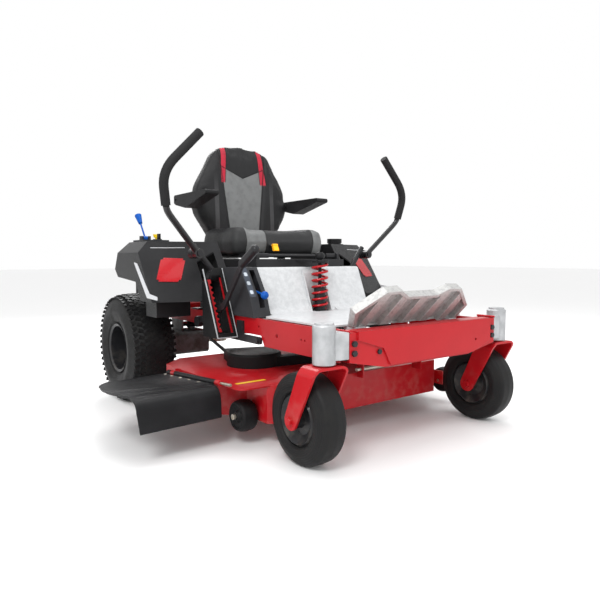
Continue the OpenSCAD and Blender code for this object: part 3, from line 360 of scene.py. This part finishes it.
def tongue_point(t, out):
    """A point of the tongue, t of the way to its rear and out from the hinge."""
    y, z = on_profile(t)
    lobe = max(0, 1 - ((t - 0.52) / 0.26) ** 2)
    reach = (reach_mid + lobe_out * lobe - nose_in * max(0, 1 - t / 0.12)
             - tail_in * max(0, (t - 0.78) / 0.22) ** 2)
    x = root + (reach - root) * out
    shift = y + 26 * out * max(0, t - 0.15) * (1 - t) * 3
    on_top = min(1, max(0, (t - 0.2) / 0.08))
    ridge = 0
    for start, end, wide in ridges:
        ridge += math.exp(-((shift - (start + (end - start) * out)) / wide) ** 2)
    dish = -5 * on_top * math.exp(-((shift - 640) / 70) ** 2) * math.sin(math.pi * out)
    rim_bead = 2.2 * math.exp(-((1 - out) * reach / 7) ** 2)
    height = z + on_top * 3.0 * ridge + dish + rim_bead * on_top
    return at(hinge_x - x * math.cos(droop), min(shift, rear_edge), height - x * math.sin(droop))


skin = bmesh.new()
rows = [[skin.verts.new(tongue_point(j / along, i / across)) for i in range(across + 1)]
        for j in range(along + 1)]
for j in range(along):
    for i in range(across):
        skin.faces.new((rows[j][i], rows[j + 1][i], rows[j + 1][i + 1], rows[j][i + 1]))
mesh = bpy.data.meshes.new("deflector_skin")
skin.normal_update()
if sum(f.normal.z for f in skin.faces) < 0:
    bmesh.ops.reverse_faces(skin, faces=skin.faces)
skin.to_mesh(mesh)
skin.free()
source = bpy.data.objects.new("deflector source", mesh)
bpy.context.scene.collection.objects.link(source)
source.modifiers.new("wall", "SOLIDIFY").thickness = 0.004
edge = source.modifiers.new("edge", "BEVEL")
edge.width, edge.segments = 0.0012, 2
deflector_skin = settle(source, "deflector_skin", "deflector_flap")
deflector_skin.data.materials.clear()
deflector_skin.data.materials.append(flap.material)
for polygon in deflector_skin.data.polygons:
    polygon.use_smooth = True
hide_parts("deflector")


def on_rod(y, x=hinge_x, lift=0):
    return at(x, y, hinge_z + (y - hinge_y) * hinge_fall + lift)


for k, ends in enumerate(((384, 692), (724, 754))):
    knuckle = tube("hinge_sleeve_%d" % (k + 1), "deflector_flap", [on_rod(y) for y in ends],
                   0.0092, flap.material)
for k, y in enumerate((400, 470, 540, 610, 680, 738)):
    tube("hinge_rivet_%d" % (k + 1), "deflector_flap",
         [on_rod(y, hinge_x - 20, lift) for lift in (-10, -4)], 0.006, zinc.material)


# ---------------------------------------------------------------- black steel
# Pivot plates, the rear guard, levers, seat rails and bolts are mild steel in
# satin black, rubbed brighter on their edges.

black_steel = painted("satin black steel", (0.018, 0.018, 0.02), (0.22, 0.22, 0.22), 0.38, 700, 0.8)
black_steel.coat("frame_bolts", "side_brackets", "rear_guard", "seat_base", "seat_rails",
                 "lever_arm_right", "lever_arm_left", "shock_body", "height_lever")

# The control bars are bent tube with a moulded foam grip on the upper half,
# ribbed round like a bicycle grip.

bars = Finish("control bar", Coat_Roughness=0.2, Specular_IOR_Level=0.3)
bars.edges(0.001)
grip = bars.step(bars.z, 0.788, 0.792)
ribs = abs((bars.z * 160) % 1 - 0.5) * 2
bars.feed(bars.shader.inputs["Base Color"],
          bars.mix(grip, (0.008, 0.008, 0.009, 1), (0.010, 0.010, 0.0105, 1)))
bars.feed(bars.shader.inputs["Roughness"], 0.3 + grip * 0.38 + bars.noise(40, 4) * 0.1)
bars.feed(bars.shader.inputs["Coat Weight"], (1 - grip) * 0.4)
bars.relief(grip * ribs * 0.35 + grip * bars.noise(1200, 2) * 0.5, 0.0012, 0.6)
bars.coat("control_bar_right", "control_bar_left")


def sweep(points, bend, steps=8):
    """A path whose corners are rounded off, as a bent tube's are."""
    path = [points[0]]
    for before, corner, after in zip(points, points[1:], points[2:]):
        into = (before - corner).normalized() * min(bend, (before - corner).length * 0.48)
        out = (after - corner).normalized() * min(bend, (after - corner).length * 0.48)
        for k in range(steps + 1):
            t = k / steps
            path.append(corner + into * (1 - t) ** 2 + out * t ** 2)
    return path + [points[-1]]


for side, word in ((-1, "right"), (1, "left")):
    swing, low_bend, neck, elbow, tip = (at(x * side, y, z) for x, y, z in (
        (436, 717, 628), (576, 673, 774), (585, 665, 796), (606, 644, 912), (462, 638, 1061)))
    barrel = [swing + Vector((0, -0.016, 0)), swing + Vector((0, 0.013, 0))]
    parts = [tube("bar_part", "bar_" + word, path, radius, bars.material) for path, radius in (
        (sweep([swing, low_bend, neck], 0.03), 0.012),
        (sweep([neck, elbow, tip], 0.07), 0.017),
        (barrel, 0.019))]
    joined = bmesh.new()
    for part in parts:
        part.data.transform(part.matrix_world)
        joined.from_mesh(part.data)
        bpy.data.objects.remove(part)
    mesh = bpy.data.meshes.new("bar")
    joined.to_mesh(mesh)
    joined.free()
    mesh.materials.append(bars.material)
    bar = bpy.data.objects.new("control_bar_tube_" + word, mesh)
    bpy.context.scene.collection.objects.link(bar)
    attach(bar, "bar_" + word)
    for polygon in bar.data.polygons:
        polygon.use_smooth = True
    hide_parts("control_bar_" + word)


# ---------------------------------------------------------------- black plastic
# The fenders, engine shroud, belt covers, knobs and tank are injection moulded
# in black with a fine leather-like grain that catches soft highlights.

# The fenders' edges carry a stronger painted highlight than the other mouldings.
fender = moulded("fender plastic", (0.009, 0.009, 0.010), 0.26, edge_highlight_lift=0.14)
fender.coat("right_console", "left_console", "engine_shroud", "fuel_tank", "fuel_cap",
            "adjuster_knob")
moulded("rough plastic", (0.006, 0.006, 0.0065), 0.4, 420, 0.0004, 0.08).coat(
    "belt_covers", "gate_frame", "ignition_key", "fan_right", "fan_left",
    "roller_right", "roller_left")
moulded("panel plastic", (0.03, 0.031, 0.034), 0.45).coat("console_panels")
moulded("belt rubber", (0.015, 0.015, 0.015), 0.7, 300).coat("mower_belt")
moulded("blue knob", (0.004, 0.07, 0.33), 0.2, 900, 0.0001).coat("speed_lever", "throttle_lever")
moulded("yellow knob", (0.9, 0.62, 0.02), 0.3, 900, 0.0001).coat("blade_switch")
moulded("orange tab", (1.0, 0.45, 0.02), 0.35, 900, 0.0001).coat("seat_latch")


# Each fender carries a plain red plate on its front face and a bright wedge of
# trim on its side. Both are thin pressings stuck on with tape.

def plate(name, body, corners, thick, round_by, outward, material):
    """A thin plate with rounded corners, stuck on a face."""
    shape = bmesh.new()
    face = shape.faces.new([shape.verts.new(c) for c in corners])
    bmesh.ops.bevel(shape, geom=list(shape.verts), offset=round_by, segments=5, affect="VERTICES")
    shape.normal_update()
    face = shape.faces[:][0]
    if face.normal.dot(outward) < 0:
        face.normal_flip()
    normal = face.normal.copy()
    top = bmesh.ops.extrude_face_region(shape, geom=[face])["geom"]
    lifted = [part for part in top if isinstance(part, bmesh.types.BMVert)]
    bmesh.ops.translate(shape, vec=normal * thick, verts=lifted)
    bmesh.ops.recalc_face_normals(shape, faces=shape.faces)
    mesh = bpy.data.meshes.new(name)
    shape.to_mesh(mesh)
    shape.free()
    mesh.materials.append(material)
    piece = bpy.data.objects.new(name, mesh)
    bpy.context.scene.collection.objects.link(piece)
    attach(piece, body)
    return piece


badge = painted("badge red", (0.42, 0.008, 0.014), (0.5, 0.5, 0.5), 0.2, 900, 0.1)
# The bright trim colour also paints a highlight along each fender's lid edge.
trim = painted("bright trim and painted highlight", (0.60, 0.61, 0.63), (0.4, 0.4, 0.4), 0.22, 900, 0.1)
for side, word in ((1, "right"), (-1, "left")):
    face = Vector((-0.294 * side, -0.786, 0.544))
    spots = [at(x * side, y, z) + face * 0.0008 for x, y, z in (
        (-524, 856, 611), (-438, 821, 607), (-481, 776, 519), (-566, 809, 521))]
    plate("badge_" + word, "chassis", spots, 0.0016, 0.009, face, badge.material)
    spots = [at(-600.3 * side, y, z) for y, z in (
        (938, 594), (905, 590), (790, 478), (716, 470), (716, 457), (812, 461))]
    plate("side_trim_" + word, "chassis", spots, 0.0018, 0.002, Vector((-side, 0, 0)), trim.material)
    # Painted highlight: a thin bright tube along the lid's edge on the front face, standing in for
    # light caught by that edge.
    tube("lid_highlight_" + word, "chassis", [at(x * side, y, z) + face * 0.0006 for x, y, z in (
        (-428, 848, 651), (-500, 874, 650), (-552, 893, 650))], 0.0014, trim.material)

# The speed tower has three plain pale marks beside its slot. Grey tubes round
# the height gate's face are a painted highlight along its edges.

slate = painted("slate panel", (0.055, 0.065, 0.085), (0.2, 0.2, 0.2), 0.35, 900, 0.1)
mark = painted("pale mark", (0.5, 0.55, 0.6), (0.4, 0.4, 0.4), 0.4, 900, 0.1)
tower_foot, tower_rise = at(-325, 506, 470), Vector((0, 0.069, 0.106))
tower_face = Vector((0, -0.84, 0.54))
side_step = Vector((0.012, 0, 0))
plate("speed_panel", "chassis",
      [tower_foot - side_step, tower_foot + side_step, tower_foot + tower_rise + side_step,
       tower_foot + tower_rise - side_step], 0.0008, 0.003, tower_face, slate.material)
for k, part in enumerate((0.16, 0.46, 0.76)):
    middle = tower_foot + tower_rise * part
    corners = [middle + Vector((dx, 0, 0)) + tower_rise.normalized() * dz
               for dx, dz in ((-0.007, -0.008), (0.007, -0.008), (0.007, 0.008), (-0.007, 0.008))]
    plate("speed_mark_%d" % (k + 1), "chassis", corners, 0.001, 0.002, tower_face, mark.material)
# Painted highlight: grey tubes along the edges of the height gate's face.
gate_highlight_paint = moulded("painted gate highlight", (0.30, 0.31, 0.32), 0.3)
for k, (x, shares) in enumerate(((-426, (0, 0.78, 0.98)), (-344, (0, 0.5, 0.99)))):
    tube("gate_rim_%d" % (k + 1), "chassis", [at(x, 587 + 115 * t, 317 + 257 * t) for t in shares],
         0.0026, gate_highlight_paint.material)
tube("gate_rim_3", "chassis", [at(x, 587, 318) for x in (-426, -344)], 0.0026, gate_highlight_paint.material)

# The deck carries one plain yellow label strip by its discharge side.

yellow = painted("warning yellow", (0.75, 0.5, 0.02), (0.4, 0.4, 0.4), 0.4, 900, 0.1)
plate("deck_label", "deck",
      [at(x, y, 205.2) for x, y in ((-500, 330), (-386, 330), (-386, 346), (-500, 346))],
      0.0006, 0.002, Vector((0, 0, 1)), yellow.material)


# ---------------------------------------------------------------- engine
# The engine block, transaxles and muffler are bare castings and pressed steel,
# dull from heat and oil, under the moulded shroud.

metal = Finish("engine casting", Metallic=0.75)
metal.edges(0.0015)
stain = metal.noise(18, 6, 0.7)
metal.feed(metal.shader.inputs["Base Color"],
           metal.mix(metal.step(stain, 0.35, 0.7), (0.2, 0.2, 0.205, 1), (0.10, 0.09, 0.08, 1)))
metal.feed(metal.shader.inputs["Roughness"], 0.42 + stain * 0.3)
metal.relief(metal.noise(380, 3), 0.0006, 0.5)
metal.coat("engine_block", "transaxles", "muffler")


# ---------------------------------------------------------------- platform
# The floor and riser are one pressed sheet with a bright light grey finish, and
# the foot rest is a cast aluminium tread with raised bars.

pale = painted("platform paint", (0.52, 0.53, 0.54), (0.25, 0.25, 0.25), 0.35, 300, 1.0)
mottle = pale.step(pale.noise(46, 9, 0.75), 0.38, 0.62)
pale.feed(pale.shader.inputs["Base Color"],
          pale.mix(mottle * 0.45, (0.58, 0.59, 0.60, 1), (0.40, 0.41, 0.42, 1)))
pale.coat("platform_panel")
tread = Finish("foot rest aluminium", Metallic=0.5)
edge_wear_and_highlight = tread.edges(0.003)
scuff = tread.noise(90, 6, 0.7)
tread.feed(tread.shader.inputs["Base Color"],
           tread.mix(edge_wear_and_highlight * 0.7, tread.mix(tread.step(scuff, 0.45, 0.7), (0.50, 0.50, 0.49, 1),
                                           (0.34, 0.34, 0.34, 1)), (0.80, 0.80, 0.80, 1)))
tread.feed(tread.shader.inputs["Roughness"], 0.4 + scuff * 0.2)
tread.relief(tread.noise(260, 4), 0.0008, 0.5)
tread.coat("foot_rest")


# ---------------------------------------------------------------- tyres
# Drive tyres have a turf tread of small staggered lugs on a crowned carcass,
# and the caster tyres are nearly smooth with ribs round their middle.

def tyre_finish(name, hub, radius, ribs):
    rubber = Finish(name, Specular_IOR_Level=0.2)
    y, z = rubber.y - hub.y, rubber.z - hub.z
    out = (y * y + z * z).math("SQRT", 0)
    wall = rubber.step(out, radius * 0.97, radius * 0.86)
    rings = abs((out * ribs) % 1 - 0.5) * 2
    dust = rubber.step(rubber.noise(24, 6, 0.65), 0.4, 0.75)
    rubber.feed(rubber.shader.inputs["Base Color"],
                rubber.mix(dust * 0.5, (0.008, 0.008, 0.0085, 1), (0.022, 0.021, 0.019, 1)))
    rubber.feed(rubber.shader.inputs["Roughness"], 0.52 + dust * 0.22)
    rubber.relief(wall * rubber.step(rings, 0.72, 0.95) * 0.8 + rubber.noise(500, 3) * 0.25,
                  0.0015, 0.7)
    return rubber


def lugs(name, body, node, material, rows, count, size):
    """Rows of moulded lugs round a tyre, each row turned half a pitch."""
    low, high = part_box(node)
    hub, radius = (low + high) / 2, (high.z - low.z) / 2
    tree = bpy.data.node_groups.new(name, "GeometryNodeTree")
    tree.interface.new_socket("Geometry", in_out="INPUT", socket_type="NodeSocketGeometry")
    inputs = [tree.interface.new_socket(word, in_out="INPUT", socket_type=kind)
              for word, kind in (("Tread radius", "NodeSocketFloat"), ("Count", "NodeSocketInt"),
                                 ("Lug", "NodeSocketVector"))]
    tree.interface.new_socket("Geometry", in_out="OUTPUT", socket_type="NodeSocketGeometry")
    new, link = tree.nodes.new, tree.links.new
    start, end, join = new("NodeGroupInput"), new("NodeGroupOutput"), new("GeometryNodeJoinGeometry")
    for i, (across, drop, tilt) in enumerate(rows):
        ring = new("GeometryNodeMeshCircle")
        ring.fill_type = "NONE"
        less = new("ShaderNodeMath")
        less.operation = "SUBTRACT"
        less.inputs[1].default_value = drop
        link(start.outputs["Tread radius"], less.inputs[0])
        link(less.outputs[0], ring.inputs["Radius"])
        link(start.outputs["Count"], ring.inputs["Vertices"])
        brick = new("GeometryNodeMeshCube")
        link(start.outputs["Lug"], brick.inputs["Size"])
        spin = new("GeometryNodeTransform")
        spin.inputs["Rotation"].default_value = (0, tilt, 0)
        link(brick.outputs["Mesh"], spin.inputs["Geometry"])
        put = new("GeometryNodeInstanceOnPoints")
        link(ring.outputs["Mesh"], put.inputs["Points"])
        link(spin.outputs[0], put.inputs["Instance"])
        face = new("FunctionNodeAlignRotationToVector")
        face.axis = "Y"
        place = new("GeometryNodeInputPosition")
        link(place.outputs[0], face.inputs["Vector"])
        link(face.outputs[0], put.inputs["Rotation"])
        move = new("GeometryNodeTransform")
        move.inputs["Translation"].default_value = (0, 0, across)
        move.inputs["Rotation"].default_value = (0, 0, math.pi / count * (i % 2))
        link(put.outputs[0], move.inputs["Geometry"])
        link(move.outputs[0], join.inputs[0])
    real, finish = new("GeometryNodeRealizeInstances"), new("GeometryNodeSetMaterial")
    stand = new("GeometryNodeTransform")
    stand.inputs["Rotation"].default_value = (0, math.pi / 2, 0)
    stand.inputs["Translation"].default_value = hub
    finish.inputs["Material"].default_value = material
    link(join.outputs[0], real.inputs[0])
    link(real.outputs[0], stand.inputs["Geometry"])
    link(stand.outputs[0], finish.inputs["Geometry"])
    link(finish.outputs[0], end.inputs[0])
    source = bpy.data.objects.new(name + " source", bpy.data.meshes.new(name))
    bpy.context.scene.collection.objects.link(source)
    modifier = source.modifiers.new("lugs", "NODES")
    modifier.node_group = tree
    for socket, value in zip(inputs, (radius, count, size)):
        modifier[socket.identifier] = value
    return settle(source, name, body)


for word in ("right", "left"):
    low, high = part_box("drive_tyre_" + word)
    rubber = tyre_finish("drive tyre " + word, (low + high) / 2, (high.z - low.z) / 2, 120)
    rubber.coat("drive_tyre_" + word)
    rows = [(across / 1000, drop / 1000, math.radians(tilt)) for across, drop, tilt in (
        (-78, 15, 20), (-58, 5.5, -22), (-38, 2.6, 22), (-19, 1.2, -22), (0, 0.8, 22), (19, 1.2, -22),
        (38, 2.6, 22), (58, 5.5, -22), (78, 15, 20))]
    lugs("turf_lugs_" + word, "drive_wheel_" + word, "drive_tyre_" + word, rubber.material,
         rows, 52, (0.013, 0.0062, 0.021))
    low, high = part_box("caster_tyre_" + word)
    rubber = tyre_finish("caster tyre " + word, (low + high) / 2, (high.z - low.z) / 2, 160)
    rubber.coat("caster_tyre_" + word)

# Wheel rims are pressed steel in semi gloss black, chipped on their edges.

rim = painted("rim black", (0.016, 0.016, 0.018), (0.2, 0.2, 0.2), 0.25, 500, 0.5)
rim.coat("drive_rim_right", "drive_rim_left", "caster_rim_right", "caster_rim_left")


# ---------------------------------------------------------------- seat
# The seat is foam under sewn vinyl: dark sides and a light grey middle, two
# red stripes down the back, and seams pulled in where the panels meet.

def pad(name, node, body, rounds, cap, pressure):
    """A node's solid remeshed, blown up a little as cloth, and smoothed."""
    source = nodes[node].copy()
    source.data = nodes[node].data.copy()
    source.parent = None
    bpy.context.scene.collection.objects.link(source)
    skin = bmesh.new()
    skin.from_mesh(source.data)
    bmesh.ops.remove_doubles(skin, verts=skin.verts, dist=0.0001)
    skin.to_mesh(source.data)
    skin.free()
    remesh = source.modifiers.new("skin", "REMESH")
    remesh.mode = "VOXEL"
    remesh.voxel_size = 0.008
    smooth = source.modifiers.new("soften", "SMOOTH")
    smooth.iterations = rounds
    smooth.factor = 0.8
    bpy.context.view_layer.update()
    mesh = bpy.data.meshes.new_from_object(
        source.evaluated_get(bpy.context.evaluated_depsgraph_get()))
    bpy.data.objects.remove(source)
    piece = bpy.data.objects.new(name, mesh)
    bpy.context.scene.collection.objects.link(piece)
    rest = [v.co.copy() for v in mesh.vertices]
    cloth = piece.modifiers.new("foam", "CLOTH")
    cloth.settings.use_pressure = True
    cloth.settings.uniform_pressure_force = pressure
    cloth.settings.effector_weights.gravity = 0
    cloth.settings.tension_stiffness = 40
    cloth.settings.compression_stiffness = 40
    for step in range(1, 21):
        bpy.context.scene.frame_set(step)
    blown = bpy.data.meshes.new_from_object(
        piece.evaluated_get(bpy.context.evaluated_depsgraph_get()))
    for vertex, start, end in zip(mesh.vertices, rest, blown.vertices):
        move = end.co - start
        vertex.co = start + move * min(1, cap / max(move.length, 1e-9))
    piece.modifiers.remove(cloth)
    bpy.context.scene.frame_set(1)
    return piece


def seat_finish(name, zones):
    vinyl = Finish(name, IOR=1.45, Specular_IOR_Level=0.35)
    cells = vinyl.node("ShaderNodeTexVoronoi", {"feature": "DISTANCE_TO_EDGE"},
                       Vector=vinyl.place, Scale=520.0)
    folds = vinyl.noise(26, 5, 0.6)
    shade, seam = zones(vinyl)
    shade = vinyl.mix(vinyl.step(folds, 0.4, 0.8) * 0.35, shade, (0.02, 0.02, 0.021, 1))
    vinyl.feed(vinyl.shader.inputs["Base Color"], vinyl.mix(seam * 0.75, shade, (0.01, 0.01, 0.01, 1)))
    vinyl.feed(vinyl.shader.inputs["Roughness"], 0.40 + folds * 0.2 + seam * 0.2)
    vinyl.relief(vinyl.step(cells, 0, 0.3) * 0.12 + folds * 0.5 - seam * 1.6, 0.0022, 0.8)
    return vinyl


dark, grey, crimson = (0.009, 0.009, 0.010, 1), (0.17, 0.175, 0.175, 1), (0.45, 0.012, 0.035, 1)
centre = at(0, 0, 0)


def panel_edge(height):
    """Half the width of the back's grey panel, which widens upwards."""
    return 0.088 + (height - 0.80) * 0.12


def back_zones(v):
    across = abs(v.x - centre.x)
    height = v.z
    edge = panel_edge(height)
    inside = v.step(across - edge, 0.002, -0.002)
    above_vee = height - 0.985 - across * 0.42
    upper = v.step(above_vee, -0.002, 0.002)
    stripe_at = edge - 0.006 + (height - 1.0) * -0.2
    striped = v.step(height, 0.955, 0.965)
    stripe = v.step(abs(across - stripe_at), 0.014, 0.0115) * striped
    shade = v.mix(inside * (1 - upper), dark, grey)
    shade = v.mix(v.step(abs(across - 0.150), 0.012, 0.009) * v.step(height, 1.02, 0.86), shade,
                  (0.05, 0.05, 0.052, 1))
    shade = v.mix(stripe, shade, crimson)
    seam = v.step(abs(across - edge), 0.0035, 0.001)
    seam = seam.math("MAXIMUM", v.step(abs(above_vee), 0.003, 0.001) * inside)
    stitch = v.step(abs(abs(across - stripe_at) - 0.0145), 0.0025, 0.001) * striped
    seam = seam.math("MAXIMUM", stitch)
    return shade, seam


def cushion_zones(v):
    across = v.x - centre.x
    front = v.step(v.y, at(0, 900, 0).y, at(0, 880, 0).y)
    right = v.step(abs(across + 0.126), 0.053, 0.050)
    left = v.step(abs(across - 0.204), 0.032, 0.029)
    middle = v.step(abs(across), 0.118, 0.114)
    patch = right.math("MAXIMUM", left) * v.step(v.z, 0.628, 0.634)
    shade = v.mix(patch, dark, grey)
    seam = v.step(abs(abs(across + 0.126) - 0.0515), 0.004, 0.001)
    seam = seam.math("MAXIMUM", v.step(abs(abs(across - 0.204) - 0.031), 0.004, 0.001))
    seam = seam.math("MAXIMUM", v.step(abs(v.y - at(0, 905, 0).y), 0.004, 0.001) * middle)
    rear = v.step(v.y, at(0, 985, 0).y, at(0, 992, 0).y)
    corner = v.step(abs(abs(across) - 0.135), 0.020, 0.017) * rear
    return v.mix(corner, v.mix(front * 0.1, shade, grey), crimson), seam


def plain_zones(v):
    return dark, v.step(abs(v.x - centre.x), 0.003, 0.001)


def sunk(beside, depth, softness, groove):
    """How far a panel sits below its bolster, with a groove along the seam."""
    return depth / (1 + math.exp(beside / softness)) + groove * math.exp(-(beside / 0.007) ** 2)


cushion = pad("seat_cushion_pad", "seat_cushion", "seat", 10, 0.012, 4)
back = pad("seat_back_pad", "seat_back", "seat", 14, 0.012, 4)
for piece, node, finish in ((cushion, "seat_cushion", seat_finish("cushion vinyl", cushion_zones)),
                            (back, "seat_back", seat_finish("back vinyl", back_zones))):
    piece.data.materials.clear()
    piece.data.materials.append(finish.material)
    for polygon in piece.data.polygons:
        polygon.use_smooth = True
    for vertex in piece.data.vertices:
        side = abs(vertex.co.x - centre.x)
        if node == "seat_back" and vertex.normal.y < -0.2:
            sink = sunk(side - panel_edge(vertex.co.z), 0.014, 0.006, 0.006)
            vertex.co.y += sink * min(1, -vertex.normal.y * 1.2)
        if node == "seat_cushion" and vertex.normal.z > 0.2:
            sink = sunk(side - 0.150, 0.010, 0.008, 0.004)
            vertex.co.z -= sink * min(1, vertex.normal.z * 1.2)
    if node == "seat_back":
        piece.data.materials.append(seat_finish("rear vinyl", plain_zones).material)
        for polygon in piece.data.polygons:
            polygon.material_index = int(polygon.normal.y > 0.3)
    divide = piece.modifiers.new("surface", "SUBSURF")
    divide.levels = divide.render_levels = 1
    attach(piece, "seat")
    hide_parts(node)

# The arm rests are moulded in soft black foam with a skin.

moulded("arm rest skin", (0.014, 0.014, 0.015), 0.5, 300, 0.0004).coat("armrest_right", "armrest_left")
